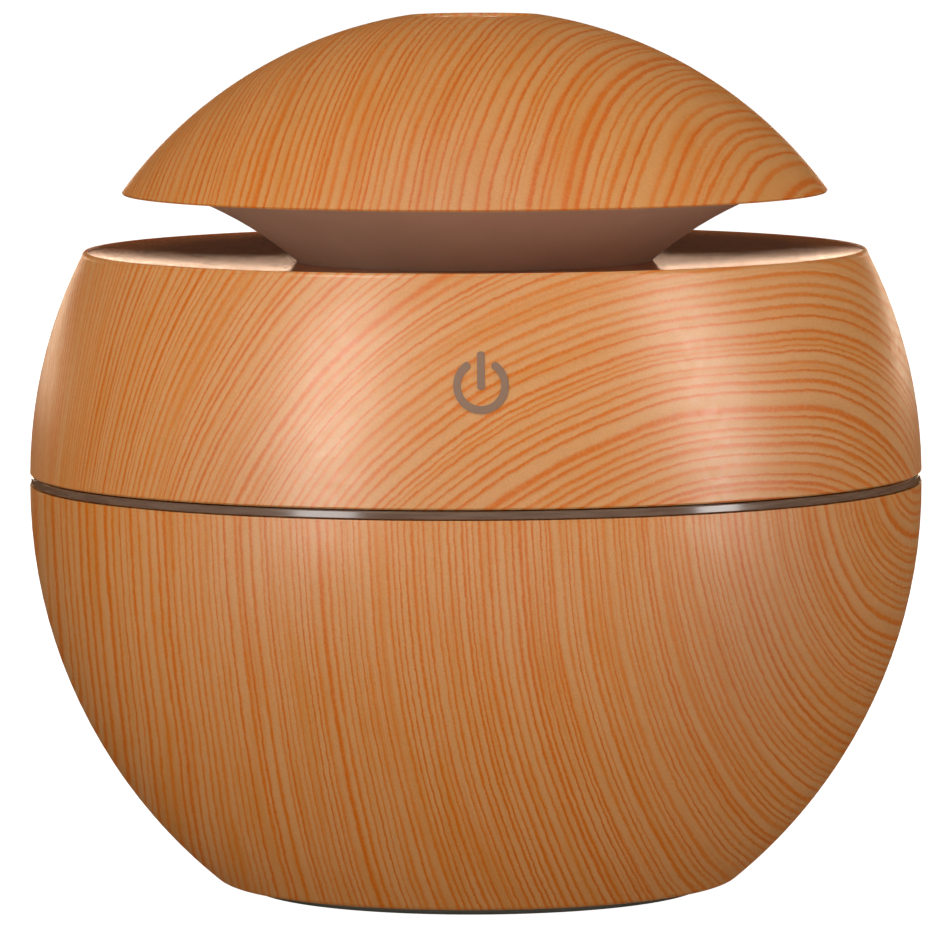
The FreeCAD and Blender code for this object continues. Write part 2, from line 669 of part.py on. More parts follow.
def make_dome_cap():
    """The printed dome, open at the top for the mist."""
    round_start = "outlet_radius + outlet_round"
    body = turned("dome_cap", [
        (cap_at("cap_edge", "wall"), "cap_edge"),
        (cap_at("cap_point") + " - cap_edge_step", "cap_edge"),
        (cap_at("cap_point"), "cap_point", "cap_bend", LEFT),
        (round_start, cap_over(round_start), "outlet_round", LEFT),
        ("outlet_radius", cap_over(round_start) + " - outlet_round"),
        ("outlet_radius", cap_over("outlet_radius", "wall"), "cap_bend - wall", RIGHT)])
    low = "cap_edge + cap_plate + play"
    boss = raise_circles(body, "cap_boss",
                         [on_circle("cap_boss_circle", BOSS_FIRST_ANGLE, "cap_boss_radius")],
                         low, "cap_boss_high")
    bore = raise_circles(body, "cap_boss_bore",
                         [on_circle("cap_boss_circle", BOSS_FIRST_ANGLE, "cap_screw + play")],
                         "cap_edge", "cap_edge + cap_screw_bite + cut_over",
                         "PartDesign::Pocket")
    repeat_round(body, "cap_bosses", [boss, bore], SCREWS_PER_CIRCLE)
    return body


# ---------------------------------------------------------------- mist and wick

def make_mist_tube():
    return turned("mist_tube",
                  rectangle("mist_bore", "mist_low", "mist_bore + mist_wall", "mist_high"))


def make_disc_retainer():
    """The ring that holds the disc down, and carries the mist tube."""
    skirt_in, skirt_out = "cup_radius + fit", "cup_radius + retainer_wall"
    skirt_low = "cup_low + skirt_rise"
    plate_low, plate_high = "cup_high + play", "mist_low - collar_step"
    collar_in, collar_out = "outlet_radius", "outlet_radius + retainer_wall"
    collar_high = "mist_low + collar_rise"
    body = turned("disc_retainer_blank", [
        ("retainer_bore", plate_low), (skirt_in, plate_low), (skirt_in, skirt_low),
        (skirt_out, skirt_low), (skirt_out, plate_high), (collar_out, plate_high),
        (collar_out, collar_high), (collar_in, collar_high), (collar_in, "mist_low - fit"),
        ("retainer_bore", "mist_low - fit")])
    return joined("disc_retainer", "Part::Cut", body,
                  lead_slot("retainer_slot", "cup_radius + retainer_wall + cut_over"))


def make_disc_gasket():
    outer = "cup_bore - gap"
    low, high = "cup_floor + play", "cup_high - play"
    seat = "disc_radius + fit"
    seat_low, seat_high = "disc_low - play", "disc_low + mesh_thick + piezo_thick + play"
    body = turned("disc_gasket_blank", [
        (outer, low), (outer, high), ("mist_bore", high), ("mist_bore", seat_high),
        (seat, seat_high), (seat, seat_low), ("mist_bore", seat_low), ("mist_bore", low)])
    return joined("disc_gasket", "Part::Cut", body, lead_slot("gasket_slot", "cup_radius"))


def make_mesh_plate():
    return turned("mesh_plate",
                  rectangle("0", "disc_low", "disc_radius", "disc_low + mesh_thick"))


def make_piezo_ring():
    low = "disc_low + mesh_thick"
    return turned("piezo_ring",
                  rectangle("piezo_bore", low, "disc_radius", f"{low} + piezo_thick"))


def make_wick_tube():
    """The tube that hangs in the water and guides the wick, with four slots."""
    flange_low, flange_high = "plate_low - tube_flange_thick", "plate_low - play"
    body = turned("wick_tube", [
        ("tube_bore", "tube_low"), ("tube_radius", "tube_low"), ("tube_radius", flange_low),
        ("tube_flange", flange_low), ("tube_flange", flange_high),
        ("tube_radius", flange_high), ("tube_radius", "tube_high"),
        ("tube_bore", "tube_high")])
    sketch = new_sketch(body, "water_slot_outline", "XZ_Plane")
    middle, half = "(slot_low + slot_high) / 2", "(slot_high - slot_low) / 2"
    draw(sketch, round_rectangle("slot_half", middle, half, "slot_corner"))
    slot = body.newObject("PartDesign::Pocket", "water_slot")
    slot.Profile = sketch
    slot.SideType = "Symmetric"
    bind(slot, "Length", "4 * tube_radius")
    body.Tip = slot
    repeat_round(body, "water_slots", [slot], 2, 180.0)
    return body


def make_wick_tube_cap():
    bore = "tube_radius + gap"
    return turned("wick_tube_cap", [
        ("tip_hole", "tip_low"), ("tip_radius - tip_edge", "tip_low"),
        ("tip_radius", "tip_low + tip_edge"), ("tip_radius", "tip_high"), (bore, "tip_high"),
        (bore, "tip_floor"), ("tip_hole", "tip_floor")])


def make_wick_spring():
    """The spring under the wick, standing on the end cap's floor."""
    body = new_body("wick_spring")
    low = "tip_floor + spring_wire + play"
    high = "wick_low - spring_wire - play"
    sketch = new_sketch(body, "spring_section", "XZ_Plane")
    draw_circle(sketch, "spring_radius", low, "spring_wire")
    coil = body.newObject("PartDesign::AdditiveHelix", "spring_coil")
    coil.Profile = sketch
    coil.ReferenceAxis = (sketch, ["V_Axis"])
    coil.Mode = "pitch-height-angle"
    bind(coil, "Pitch", "spring_pitch")
    bind(coil, "Height", f"({high}) - ({low})")
    body.Tip = coil
    return body


def make_cotton_wick():
    return cylinder("cotton_wick", "wick_radius", "wick_low", "wick_high")


# ---------------------------------------------------------------- boards

BOARD_TOP = "board_low + board_thick"


def make_main_board():
    body = turned("main_board_blank",
                  rectangle("board_bore", "board_low", "board_radius", BOARD_TOP))
    hole = raise_circles(body, "board_hole",
                         [on_circle("post_circle", POST_FIRST_ANGLE, "board_screw + fit")],
                         "board_low - cut_over", f"{BOARD_TOP} + cut_over",
                         "PartDesign::Pocket")
    repeat_round(body, "board_holes", [hole], SCREWS_PER_CIRCLE)
    tail = box("board_tail", ("-board_tail_half", "board_tail_start", "board_low"),
               ("board_tail_half", "board_tail_end", BOARD_TOP))
    return joined("main_board", "Part::Fuse", body, tail)


def make_inductor():
    """A drum coil: two flanges and the winding between them."""
    flange_high = "drum_flange + drum_slope"
    drum = turned("inductor", [
        ("0", "0"), ("drum_radius", "0"), ("drum_radius", "drum_flange"),
        ("winding_radius", flange_high), ("winding_radius", f"drum_high - ({flange_high})"),
        ("drum_radius", "drum_high - drum_flange"), ("drum_radius", "drum_high"),
        ("0", "drum_high")])
    drum.Placement.Base = FreeCAD.Vector(*DRUM_PLACE, value_of(BOARD_TOP))
    return drum


def make_capacitor():
    """A can with a bead near its foot and a shallow dish in its top."""
    can = turned("capacitor", [
        ("0", "0"), ("can_radius", "0"), ("can_radius", "bead_height - bead_half"),
        ("can_radius - bead_depth", "bead_height"),
        ("can_radius", "bead_height + bead_half"), ("can_radius", "can_high - can_edge"),
        ("can_radius - can_edge", "can_high"), ("can_dish", "can_high"),
        ("can_dish", "can_high - can_dish_depth"), ("0", "can_high - can_dish_depth")])
    can.Placement.Base = FreeCAD.Vector(*CAN_PLACE, value_of(BOARD_TOP))
    return can


def make_board_chips():
    """The flat parts on the main board: x, y, length, width, height."""
    flat_parts = [(-22, 6, 6, 5, 1.6), (16, 15, 5, 4, 1.5), (8, -24, 4, 3, 1.1),
                  (-8, -25, 2, 1.25, 0.6), (-3, -21, 2, 1.25, 0.6), (13, 21, 2, 1.25, 0.6),
                  (-15, 19, 3, 1.6, 1.0), (3, -27, 2, 1.25, 0.6)]
    blocks = []
    for number, (x, y, length, width, height) in enumerate(flat_parts, start=1):
        blocks.append(box(f"board_chip_{number}", (f"{x}", f"{y}", BOARD_TOP),
                          (f"{x + length}", f"{y + width}", f"{BOARD_TOP} + {height}")))
    return group("board_chips", blocks)


def make_lamp_board():
    low = "plate_rim_high + play"
    return turned("lamp_board",
                  rectangle("lamp_inner", low, "lamp_outer", f"{low} + lamp_board_thick"))


def make_lamps():
    """The coloured lamps under the lamp board, over the ring's light guide."""
    lamps = []
    for number in range(LAMP_COUNT):
        angle = 360.0 * (number + 0.5) / LAMP_COUNT
        lamp = doc.addObject("Part::Box", f"lamp_{number + 1}")
        bind(lamp, "Length", "lamp_side")
        bind(lamp, "Width", "lamp_side")
        bind(lamp, "Height", "lamp_high")
        out = "lamp_circle - lamp_side / 2"
        across = "lamp_side / 2"
        turn_cos, turn_sin = f"cos({angle} deg)", f"sin({angle} deg)"
        bind(lamp, "Placement.Base.x", f"({out}) * {turn_cos} + {across} * {turn_sin}")
        bind(lamp, "Placement.Base.y", f"({out}) * {turn_sin} - {across} * {turn_cos}")
        bind(lamp, "Placement.Base.z", "plate_rim_high - lamp_high")
        lamp.Placement.Rotation = FreeCAD.Rotation(FreeCAD.Vector(0, 0, 1), angle)
        lamps.append(lamp)
    return group("lamps", lamps)


def make_touch_pad():
    """The sensor plate behind the touch mark."""
    return box("touch_pad", ("-touch_half", "-touch_reach", "touch_low"),
               ("touch_half", "touch_thick - touch_reach", "touch_high"))


def make_power_socket():
    """The sheet-metal shell of the socket, open towards +Y."""
    half = "socket_width / 2"
    front = "socket_mouth - socket_depth"
    shell = box("socket_block", (f"-{half}", front, BOARD_TOP),
                (half, "socket_mouth", f"{BOARD_TOP} + socket_height"))
    hollow = box("socket_hollow",
                 (f"socket_sheet - {half}", f"{front} + socket_sheet",
                  f"{BOARD_TOP} + socket_sheet"),
                 (f"{half} - socket_sheet", "socket_mouth + cut_over",
                  f"{BOARD_TOP} + socket_height - socket_sheet"))
    return joined("power_socket", "Part::Cut", shell, hollow)


def make_socket_tongue():
    front = "socket_mouth - socket_depth + socket_sheet"
    middle = f"{BOARD_TOP} + socket_height / 2"
    return box("socket_tongue",
               ("-tongue_half_width", front, f"{middle} - tongue_half_height"),
               ("tongue_half_width", "socket_mouth - tongue_back",
                f"{middle} + tongue_half_height"))


# ---------------------------------------------------------------- touch mark

def make_power_icon():
    """The printed touch mark: an open ring and a bar, laid on the head shell."""
    outer, inner = "mark_radius", "(mark_radius - mark_stroke)"
    sine, cosine = "sin(mark_gap_angle * 1 deg)", "cos(mark_gap_angle * 1 deg)"
    end_round = "mark_stroke * 0.55"
    under = "-mark_lift"
    stamp = new_body("icon_stamp")
    sketch = new_sketch(stamp, "icon_outline", "XZ_Plane")

    def spot(radius, side):
        return (f"{side} * {radius} * {sine}", f"mark_height + {radius} * {cosine}")

    draw(sketch, [
        (*spot(outer, 1), outer, RIGHT), ("0", f"mark_height - {outer}", outer, RIGHT),
        (*spot(outer, -1), end_round, RIGHT), (*spot(inner, -1), inner, LEFT),
        ("0", f"mark_height - {inner}", inner, LEFT), (*spot(inner, 1), end_round, RIGHT)])
    bar_middle = "mark_height + (mark_bar_top + mark_bar_low) / 2"
    bar_half = "(mark_bar_top - mark_bar_low) / 2"
    draw(sketch, round_rectangle("mark_stroke / 2", bar_middle, bar_half, "mark_stroke * 0.4"))
    pad = stamp.newObject("PartDesign::Pad", "icon_pad")
    pad.Profile = sketch
    bind(pad, "Length", "body_radius + cut_over")
    stamp.Tip = pad
    low = "mark_height - mark_radius - cut_over"
    high = "mark_height + mark_bar_top + cut_over"
    ink = turned("ink_layer", [
        (shell_at(low, under), low),
        (shell_at(low, "-mark_thick"), low, "shell_bend + mark_thick", LEFT),
        (shell_at(high, "-mark_thick"), high),
        (shell_at(high, under), high, "shell_bend + mark_lift", RIGHT)])
    return joined("power_icon", "Part::Common", stamp, ink)


# ---------------------------------------------------------------- screws and leads

def screw(name, place, head_radius, head, shank_radius, shank):
    """A pan-head screw on the Z axis: place is x, y, the head and the shank are
    each (low, high), and the head has a cross recess cut in its free end."""
    points_up = value_of(shank[1]) > value_of(head[1])
    x, y = place
    rod = cylinder(name + "_rod", shank_radius, shank[0], shank[1], x, y)
    top = cylinder(name + "_head", head_radius, head[0], head[1], x, y)
    whole = joined(name + "_whole", "Part::Fuse", top, rod)
    low = f"{head[0]} - cut_over" if points_up else f"{head[1]} - recess_depth"
    high = f"{head[0]} + recess_depth" if points_up else f"{head[1]} + cut_over"
    arm, half = f"({head_radius}) * 0.62", f"({head_radius}) * 0.14"
    recess = [box(f"{name}_recess_{way}",
                  (f"({x}) - {across}", f"({y}) - {along}", low),
                  (f"({x}) + {across}", f"({y}) + {along}", high))
              for way, across, along in (("x", arm, half), ("y", half, arm))]
    cross = joined(name + "_cross", "Part::Fuse", *recess)
    return joined(name, "Part::Cut", whole, cross)


def screws_on_circle(name, circle, first_angle, head_radius, head, shank_radius, shank):
    parts = []
    for number in range(SCREWS_PER_CIRCLE):
        angle = first_angle + 360.0 * number / SCREWS_PER_CIRCLE
        place = (f"({circle}) * cos({angle} deg)", f"({circle}) * sin({angle} deg)")
        parts.append(screw(f"{name}_{number + 1}", place, head_radius, head,
                           shank_radius, shank))
    return group(name, parts)


def make_screws():
    seat = "plate_low - under_head"
    screws_on_circle("chassis_screws", "boss_circle", BOSS_FIRST_ANGLE, "chassis_head",
                     (f"{seat} - chassis_head_high", seat), "chassis_screw",
                     (seat, "plate_high + chassis_screw_bite"))
    seat = f"{BOARD_TOP} + under_head"
    screws_on_circle("board_screws", "post_circle", POST_FIRST_ANGLE, "board_head",
                     (seat, f"{seat} + board_head_high"), "board_screw",
                     ("board_low - board_screw_bite", seat))
    seat = "cap_under - under_head"
    screws_on_circle("cap_screws", "cap_boss_circle", BOSS_FIRST_ANGLE, "cap_head",
                     (f"{seat} - cap_head_high", seat), "cap_screw",
                     (seat, "cap_edge + cap_screw_bite"))


def lead_path(points):
    """Straight runs joined by tangent arcs, each as large as its runs allow."""
    edges = []
    start = points[0]
    for before, corner, after in zip(points, points[1:], points[2:]):
        back, ahead = (before - corner), (after - corner)
        shorter = min(back.Length, ahead.Length)
        half_turn = (math.pi - back.getAngle(ahead)) / 2
        reach = 0.45 * shorter
        radius = reach / math.tan(half_turn)
        back.normalize()
        ahead.normalize()
        arc_start, arc_end = corner + back * reach, corner + ahead * reach
        bisector = (back + ahead).normalize()
        centre = corner + bisector * (radius / math.cos(half_turn))
        middle = centre - bisector * radius
        edges.append(Part.LineSegment(start, arc_start).toShape())
        edges.append(Part.Arc(arc_start, middle, arc_end).toShape())
        start = arc_end
    edges.append(Part.LineSegment(start, points[-1]).toShape())
    return Part.Wire(edges)


def lead(points, radius):
    """One insulated lead swept along its path."""
    path = lead_path([FreeCAD.Vector(*point) for point in points])
    start = FreeCAD.Vector(*points[0])
    direction = FreeCAD.Vector(*points[1]) - start
    section = Part.Wire([Part.Circle(start, direction, radius).toShape()])
    tube = path.makePipeShell([section], True, False)
    print(f"lead volume / (section * length): "
          f"{tube.Volume / (math.pi * radius ** 2 * path.Length):.3f}")
    return tube


def add_shape(name, shape):
    feature = doc.addObject("Part::Feature", name)
    feature.Label = name
    feature.Shape = shape
    feature.Placement = FreeCAD.Placement()
    return feature


def make_leads():
    """The disc's two leads to the board, the touch pad's lead, and the two from
    the board to the lamp board. Each route is a list of x, y, z."""
    thick = value_of("lead_radius")
    apart = value_of("lead_apart")
    board = value_of(BOARD_TOP) + 0.05
    disc = value_of("disc_low + mesh_thick + piezo_thick") + thick + 0.04
    lamp = value_of("plate_rim_high + lamp_board_thick") + 0.1
    pad = value_of("touch_reach - touch_thick") - 0.1
    disc_leads = [lead([(-7.2, y, disc), (-15.4, y, disc), (-18.6, 1.6 * y, disc - 2.4),
                        (-20.0, 2 * y, board + 3.45), (-20.0, 2 * y, board)], thick)
                  for y in (-apart, apart)]
    add_shape("disc_leads", Part.makeCompound(disc_leads))
    add_shape("touch_lead", lead([(2.6, -pad, 58.5), (3.6, -41.0, 58.5), (5.2, -36.0, 58.1),
                                  (5.6, -30.4, 57.2), (5.6, -30.4, board)], thick))
    lamp_leads = [lead([(-29.0, y, board), (-29.0, y, board + 2.35), (-35.0, y, board + 2.85),
                        (-43.8, y, lamp + 3.35), (-43.8, y, lamp)], thick)
                  for y in (-apart, apart)]
    add_shape("lamp_leads", Part.makeCompound(lamp_leads))


# ---------------------------------------------------------------- build and write

NODES = [
    "foot_pad", "bowl_shell", "tank_liner", "tank_seal",
    "head_base", "light_ring", "upper_shell", "top_deck", "mist_flare",
    "cap_base", "dome_cap", "mist_tube", "disc_retainer", "disc_gasket",
    "mesh_plate", "piezo_ring", "wick_tube", "wick_tube_cap", "wick_spring",
    "cotton_wick", "main_board", "inductor", "capacitor", "board_chips",
    "lamp_board", "lamps", "touch_pad", "power_socket", "socket_tongue",
    "power_icon", "chassis_screws", "board_screws", "cap_screws",
    "disc_leads", "touch_lead", "lamp_leads",
]


def build():
    make_foot_pad()
    make_bowl_shell()
    make_tank_liner()
    make_tank_seal()
    make_head_base()
    make_light_ring()
    make_upper_shell()
    make_top_deck()
    make_mist_flare()
    make_cap_base()
    make_dome_cap()
    make_mist_tube()
    make_disc_retainer()
    make_disc_gasket()
    make_mesh_plate()
    make_piezo_ring()
    make_wick_tube()
    make_wick_tube_cap()
    make_wick_spring()
    make_cotton_wick()
    make_main_board()
    make_inductor()
    make_capacitor()
    make_board_chips()
    make_lamp_board()
    make_lamps()
    make_touch_pad()
    make_power_socket()
    make_socket_tongue()
    make_power_icon()
    make_screws()
    make_leads()
    doc.recompute()


def write_parts():
    """Check every object, then write each sub-part to its own STEP file."""
    for thing in doc.Objects:
        if "Invalid" in thing.State or "Error" in thing.State:
            raise RuntimeError(f"{thing.Name} failed: {thing.State}")
    by_label = {thing.Label: thing for thing in doc.Objects}
    for name in NODES:
        shape = by_label[name].Shape
        if shape.isNull() or not shape.isValid():
            raise RuntimeError(f"{name} has no valid shape")
    os.makedirs("parts", exist_ok=True)
    for name in NODES:
        shape = by_label[name].Shape
        shape.exportStep(f"parts/{name}.step")
        print(f"{name}: {len(shape.Solids)} solids, {shape.Volume:.1f} mm3")


build()
write_parts()
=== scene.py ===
import math

import bmesh
import bpy
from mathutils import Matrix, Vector, noise


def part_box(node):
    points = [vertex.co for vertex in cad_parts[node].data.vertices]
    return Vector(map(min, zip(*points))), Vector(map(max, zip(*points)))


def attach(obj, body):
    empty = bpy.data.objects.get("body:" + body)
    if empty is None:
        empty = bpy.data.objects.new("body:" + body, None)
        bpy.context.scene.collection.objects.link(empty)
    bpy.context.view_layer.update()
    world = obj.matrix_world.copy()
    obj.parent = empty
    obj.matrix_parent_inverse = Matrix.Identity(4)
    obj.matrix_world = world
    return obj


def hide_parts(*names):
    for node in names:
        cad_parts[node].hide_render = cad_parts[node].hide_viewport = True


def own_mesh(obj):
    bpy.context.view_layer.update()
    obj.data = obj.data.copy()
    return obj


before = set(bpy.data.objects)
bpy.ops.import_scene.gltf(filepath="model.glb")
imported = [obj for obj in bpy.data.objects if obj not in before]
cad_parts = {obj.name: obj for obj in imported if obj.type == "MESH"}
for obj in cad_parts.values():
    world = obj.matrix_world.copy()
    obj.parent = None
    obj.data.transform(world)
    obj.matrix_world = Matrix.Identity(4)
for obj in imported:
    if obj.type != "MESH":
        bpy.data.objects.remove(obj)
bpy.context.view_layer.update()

# Metres. +Z is up, and the touch mark faces -Y. The cotton wick and its spring are
# modelled here, on the boxes of their CAD parts. Every other part keeps its CAD shape,
# and only gets its material here.

MM = 0.001


# ---------------------------------------------------------------- shader helper

class Shader:
    """One material's node tree, with short calls that add and join nodes.

    place is the point on the object in metres. Noise scales are per metre of it."""

    def __init__(self, name):
        self.material = bpy.data.materials.new(name)
        self.material.use_nodes = True
        self.tree = self.material.node_tree
        self.tree.nodes.clear()
        self.output = self.tree.nodes.new("ShaderNodeOutputMaterial")
        self.surface = self.tree.nodes.new("ShaderNodeBsdfPrincipled")
        self.join(self.surface.outputs[0], self.output.inputs["Surface"])
        self.place = self.tree.nodes.new("ShaderNodeTexCoord").outputs["Object"]

    def join(self, source, socket):
        self.tree.links.new(source, socket)

    def feed(self, socket, value):
        if isinstance(value, bpy.types.NodeSocket):
            self.join(value, socket)
        elif isinstance(value, (int, float)):
            socket.default_value = value
        else:
            socket.default_value = tuple(value) if len(socket.default_value) == len(value) \
                else (*value, 1.0)

    def math(self, operation, *values, clamp=False):
        node = self.tree.nodes.new("ShaderNodeMath")
        node.operation = operation
        node.use_clamp = clamp
        for socket, value in zip(node.inputs, values):
            self.feed(socket, value)
        return node.outputs[0]

    def add(self, a, b):
        return self.math("ADD", a, b)

    def sub(self, a, b):
        return self.math("SUBTRACT", a, b)

    def mul(self, a, b):
        return self.math("MULTIPLY", a, b)

    def span(self, a, b):
        """The length of a line whose two sides are a and b."""
        return self.math("SQRT", self.add(self.mul(a, a), self.mul(b, b)))

    def ramp(self, value, low, high, out_low=0.0, out_high=1.0):
        """A smooth step from out_low to out_high as value goes from low to high."""
        node = self.tree.nodes.new("ShaderNodeMapRange")
        node.interpolation_type = "SMOOTHSTEP"
        for key, number in (("Value", value), ("From Min", low), ("From Max", high),
                            ("To Min", out_low), ("To Max", out_high)):
            self.feed(node.inputs[key], number)
        return node.outputs[0]

    def split(self, vector):
        node = self.tree.nodes.new("ShaderNodeSeparateXYZ")
        self.join(vector, node.inputs[0])
        return node.outputs[0], node.outputs[1], node.outputs[2]

    def in_millimetres(self):
        """The three coordinates of place, in millimetres."""
        return self.split(self.scaled(self.place, (1000, 1000, 1000)))

    def vector(self, x, y, z):
        node = self.tree.nodes.new("ShaderNodeCombineXYZ")
        for socket, value in zip(node.inputs, (x, y, z)):
            self.feed(socket, value)
        return node.outputs[0]

    def scaled(self, vector, factors):
        node = self.tree.nodes.new("ShaderNodeVectorMath")
        node.operation = "MULTIPLY"
        self.feed(node.inputs[0], vector)
        self.feed(node.inputs[1], factors)
        return node.outputs[0]

    def noise(self, vector, scale, detail=2.0, roughness=0.5, dimensions="3D"):
        node = self.tree.nodes.new("ShaderNodeTexNoise")
        node.noise_dimensions = dimensions
        self.feed(node.inputs["W" if dimensions == "1D" else "Vector"], vector)
        node.inputs["Scale"].default_value = scale
        node.inputs["Detail"].default_value = detail
        node.inputs["Roughness"].default_value = roughness
        return node.outputs[0]

    def random(self, number):
        """A random value between 0 and 1 for each whole number."""
        node = self.tree.nodes.new("ShaderNodeTexWhiteNoise")
        node.noise_dimensions = "1D"
        self.feed(node.inputs["W"], number)
        return node.outputs[0]

    def cells(self, vector, scale, feature="F1", output="Distance"):
        node = self.tree.nodes.new("ShaderNodeTexVoronoi")
        node.feature = feature
        self.feed(node.inputs["Vector"], vector)
        node.inputs["Scale"].default_value = scale
        return node.outputs[output]

    def blend(self, share, first, second, mode="MIX"):
        node = self.tree.nodes.new("ShaderNodeMix")
        node.data_type = "RGBA"
        node.blend_type = mode
        self.feed(node.inputs["Factor"], share)
        self.feed(node.inputs["A"], first)
        self.feed(node.inputs["B"], second)
        return node.outputs["Result"]

    def shaded(self, colour, share):
        """The colour times a number, or times another colour."""
        if isinstance(share, bpy.types.NodeSocket):
            share = self.vector(share, share, share)
        return self.blend(1.0, colour, share, "MULTIPLY")

    def bump(self, height, strength, distance):
        node = self.tree.nodes.new("ShaderNodeBump")
        node.inputs["Strength"].default_value = strength
        node.inputs["Distance"].default_value = distance
        self.feed(node.inputs["Height"], height)
        self.join(node.outputs[0], self.surface.inputs["Normal"])

    def set(self, **values):
        """Set the shader's inputs: base_color, roughness and so on."""
        for key, value in values.items():
            name = {"ior": "IOR"}.get(key, key.replace("_", " ").title())
            self.feed(self.surface.inputs[name], value)


def srgb(red, green, blue):
    """A colour given as 0 to 255 in display values, as linear light."""
    def linear(value):
        value /= 255
        return value / 12.92 if value <= 0.04045 else ((value + 0.055) / 1.055) ** 2.4
    return tuple(linear(value) for value in (red, green, blue))


# ---------------------------------------------------------------- printed wood

TAN = srgb(218, 156, 96)
TAN_DEEP = srgb(213, 139, 62)
LINE = srgb(219, 118, 4)
LINE_DEEP = srgb(214, 106, 0)
DOME_WARMTH = (1.0, 0.93, 0.74)

# Millimetres. WRAP_RADIUS is a little more than the side's, so that a point on the side is
# always inside it. The waves and the tremble are how far slow and fine noise shift the
# rings. DOME_SIDE is how far from the dome's middle its two given spacings hold.
SIDE_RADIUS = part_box("bowl_shell")[1].x / MM
WRAP_RADIUS = SIDE_RADIUS + 0.5
SIDE_WAVE, THROUGH_WAVE, DOME_WAVE = 2.4, 1.6, 3.0
TREMBLE = 0.36
DOME_SIDE = 30

# The widths are shares of a ring's spacing, and DRIFT counts rings. The other shares are
# how strongly a mark shows. FINE_CROWDING is how many fine lines there are to a ring.
LINE_WIDTH, FINE_WIDTH, DRIFT = 0.15, 0.16, 2.4
FINE_SHARE, HALO_SHARE, CLOUD_SHARE = 0.45, 0.42, 0.7
FINE_CROWDING = 1.93


def ring_line(shader, ring, along, seed, width):
    """One family of growth lines. Each whole step of ring is a line with its own place,
    width and strength, which fades and comes back along its length. Returns the line, the
    soft halo on its inner side, and the line's own random number."""
    number = shader.math("FLOOR", ring)
    shift = shader.mul(shader.sub(shader.random(shader.add(number, seed + 50.5)), 0.5), 0.34)
    off = shader.sub(shader.sub(shader.sub(ring, number), 0.5), shift)
    chance = shader.random(shader.add(number, seed))
    fade_place = shader.vector(shader.mul(number, 7.31), shader.mul(along, 0.10), seed)
    fade = shader.noise(fade_place, 1.0, 3.0, 0.6)
    strength = shader.add(chance, shader.mul(shader.sub(fade, 0.5), 1.8))
    strength = shader.ramp(strength, -0.2, 0.6, 0.62, 1.0)
    swell = shader.noise(shader.scaled(fade_place, (1, 4, 1)), 1.0, 2.0, 0.6)
    broad = shader.add(shader.mul(shader.random(shader.add(number, seed + 9.5)), 0.5),
                       shader.mul(swell, 1.1))
    reach = shader.mul(shader.add(broad, 0.35), width)
    distance = shader.math("ABSOLUTE", off)
    line = shader.ramp(distance, shader.mul(reach, 0.35), shader.mul(reach, 1.5), 1.0, 0.0)
    halo = shader.ramp(off, shader.mul(reach, -3.2), 0.0, 0.0, 1.0)
    halo = shader.mul(halo, shader.ramp(off, 0.0, reach, 1.0, 0.0))
    return shader.mul(line, strength), shader.mul(halo, strength), chance


def print_wood(shader, ring, along, seed):
    """Colour the shader as printed pine. ring counts the growth rings, and along is a
    coordinate in millimetres that runs with the lines."""
    drift = shader.noise(shader.add(shader.mul(ring, 0.16), seed), 1.0, 2.0, 0.5, "1D")
    ring = shader.add(ring, shader.mul(shader.sub(drift, 0.5), DRIFT))
    line, halo, chance = ring_line(shader, ring, along, seed, LINE_WIDTH)
    crowded = shader.mul(ring, FINE_CROWDING)
    fine, _, _ = ring_line(shader, crowded, along, seed + 400, FINE_WIDTH)
    patch_place = shader.vector(shader.mul(ring, 0.21), shader.mul(along, 0.05), seed + 3)
    patch = shader.ramp(shader.noise(patch_place, 1.0, 2.0, 0.5), 0.5, 0.68)
    fine = shader.mul(shader.mul(fine, patch), FINE_SHARE)

    cloud_place = shader.vector(shader.mul(ring, 0.4), shader.mul(along, 0.05), seed)
    cloud = shader.ramp(shader.noise(cloud_place, 1.0, 3.0, 0.6), 0.42, 0.7)
    dots = shader.ramp(shader.noise(shader.place, 2300.0, 1.0, 0.5), 0.32, 0.58, 0.7, 1.0)
    speckle = shader.ramp(shader.noise(shader.place, 5200.0, 2.0, 0.7), 0.3, 0.7, 0.93, 1.05)

    base = shader.blend(shader.mul(cloud, CLOUD_SHARE), TAN, TAN_DEEP)
    base = shader.blend(shader.mul(halo, HALO_SHARE), base, LINE)
    mark = shader.mul(shader.math("MAXIMUM", line, fine), dots)
    base = shader.blend(mark, base, shader.blend(chance, LINE, LINE_DEEP))
    return shader.shaded(base, speckle)


def count_rings(shader, field, spacing, wave):
    """Turn a distance in millimetres into rings, with slow waves and a fine tremble."""
    slow = shader.mul(shader.sub(shader.noise(shader.place, 36.0, 1.0, 0.4), 0.5), wave)
    tremble = shader.mul(shader.sub(shader.noise(shader.place, 600.0, 3.0, 0.75), 0.5), TREMBLE)
    return shader.mul(shader.add(shader.add(field, slow), tremble), 1.0 / spacing)


def wood_on_side(name, centre_across, centre_height, stretch, crowd, steep, spacing, seed):
    """Printed wood wrapped round a shell's side. The rings lie round a place given
    by its distance along the side to the right of the front and by its height, in
    millimetres. stretch scales them across, and crowd packs them closer the further
    they are from that place; steep scales them upwards."""
    shader = Shader(name)
    x, _, z = shader.in_millimetres()
    turn = shader.math("ARCSINE", shader.mul(x, 1 / WRAP_RADIUS))
    across = shader.sub(shader.mul(turn, SIDE_RADIUS), centre_across)
    share = shader.add(shader.mul(shader.mul(across, across), crowd), stretch)
    across = shader.mul(across, share)
    rise = shader.mul(shader.sub(z, centre_height), steep)
    ring = count_rings(shader, shader.span(across, rise), spacing, SIDE_WAVE)
    finish_wood(shader, print_wood(shader, ring, z, seed))
    return shader.material


